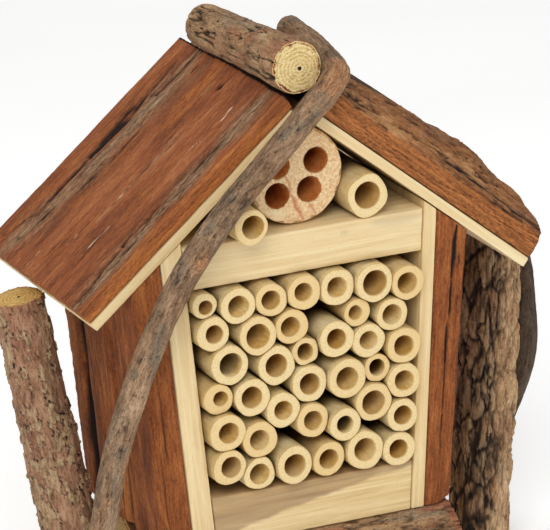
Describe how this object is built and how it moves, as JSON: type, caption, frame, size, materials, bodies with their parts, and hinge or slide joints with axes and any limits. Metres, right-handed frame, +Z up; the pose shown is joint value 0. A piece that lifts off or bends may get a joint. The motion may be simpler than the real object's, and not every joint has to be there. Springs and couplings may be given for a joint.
{
  "type": "insect hotel",
  "caption": "Small rustic insect hotel: a bark-clad pitched-roof house filled with bamboo tubes and a drilled wood block, standing on logs between two posts with bent branches.",
  "frame": {"origin": "middle of the footprint's box, on the ground", "axes": "+Z up, +X to the right seen from the front, the open front looks along -Y"},
  "size_m": [0.1998, 0.0976, 0.1968],
  "materials": {
    "pale_board": "sawn, unfinished",
    "red_bark": "rough bark slab",
    "grey_bark": "thin grey bark",
    "brown_bark": "flaking bark",
    "block_wood": "sawn end grain",
    "cane": "matt bamboo"
  },
  "bodies": {
    "root": {"wall_left_board": "pale_board", "wall_right_board": "pale_board", "back_board": "pale_board", "floor_bar": "pale_board", "shelf": "pale_board", "roof_left_board": "pale_board", "roof_right_board": "pale_board", "wall_left_bark": "red_bark", "wall_right_bark": "red_bark", "roof_left_bark": "red_bark", "roof_right_bark": "red_bark", "ridge_log": "grey_bark", "bent_branch": "grey_bark", "rear_branch": "grey_bark", "post_left": "brown_bark", "post_right": "brown_bark", "sill_log_front": "brown_bark", "sill_log_rear": "brown_bark", "drilled_block": "block_wood", "tube_01": "cane", "tube_02": "cane", "tube_03": "cane", "tube_04": "cane", "tube_05": "cane", "tube_06": "cane", "tube_07": "cane", "tube_08": "cane", "tube_09": "cane", "tube_10": "cane", "tube_11": "cane", "tube_12": "cane", "tube_13": "cane", "tube_14": "cane", "tube_15": "cane", "tube_16": "cane", "tube_17": "cane", "tube_18": "cane", "tube_19": "cane", "tube_20": "cane", "tube_21": "cane", "tube_22": "cane", "tube_23": "cane", "tube_24": "cane", "tube_25": "cane", "tube_26": "cane", "tube_27": "cane", "tube_28": "cane", "tube_29": "cane", "tube_30": "cane", "tube_31": "cane", "tube_32": "cane", "tube_33": "cane", "tube_34": "cane", "tube_35": "cane", "tube_36": "cane", "tube_37": "cane", "gable_tube_left": "cane", "gable_tube_right": "cane"}
  },
  "joints": []
}
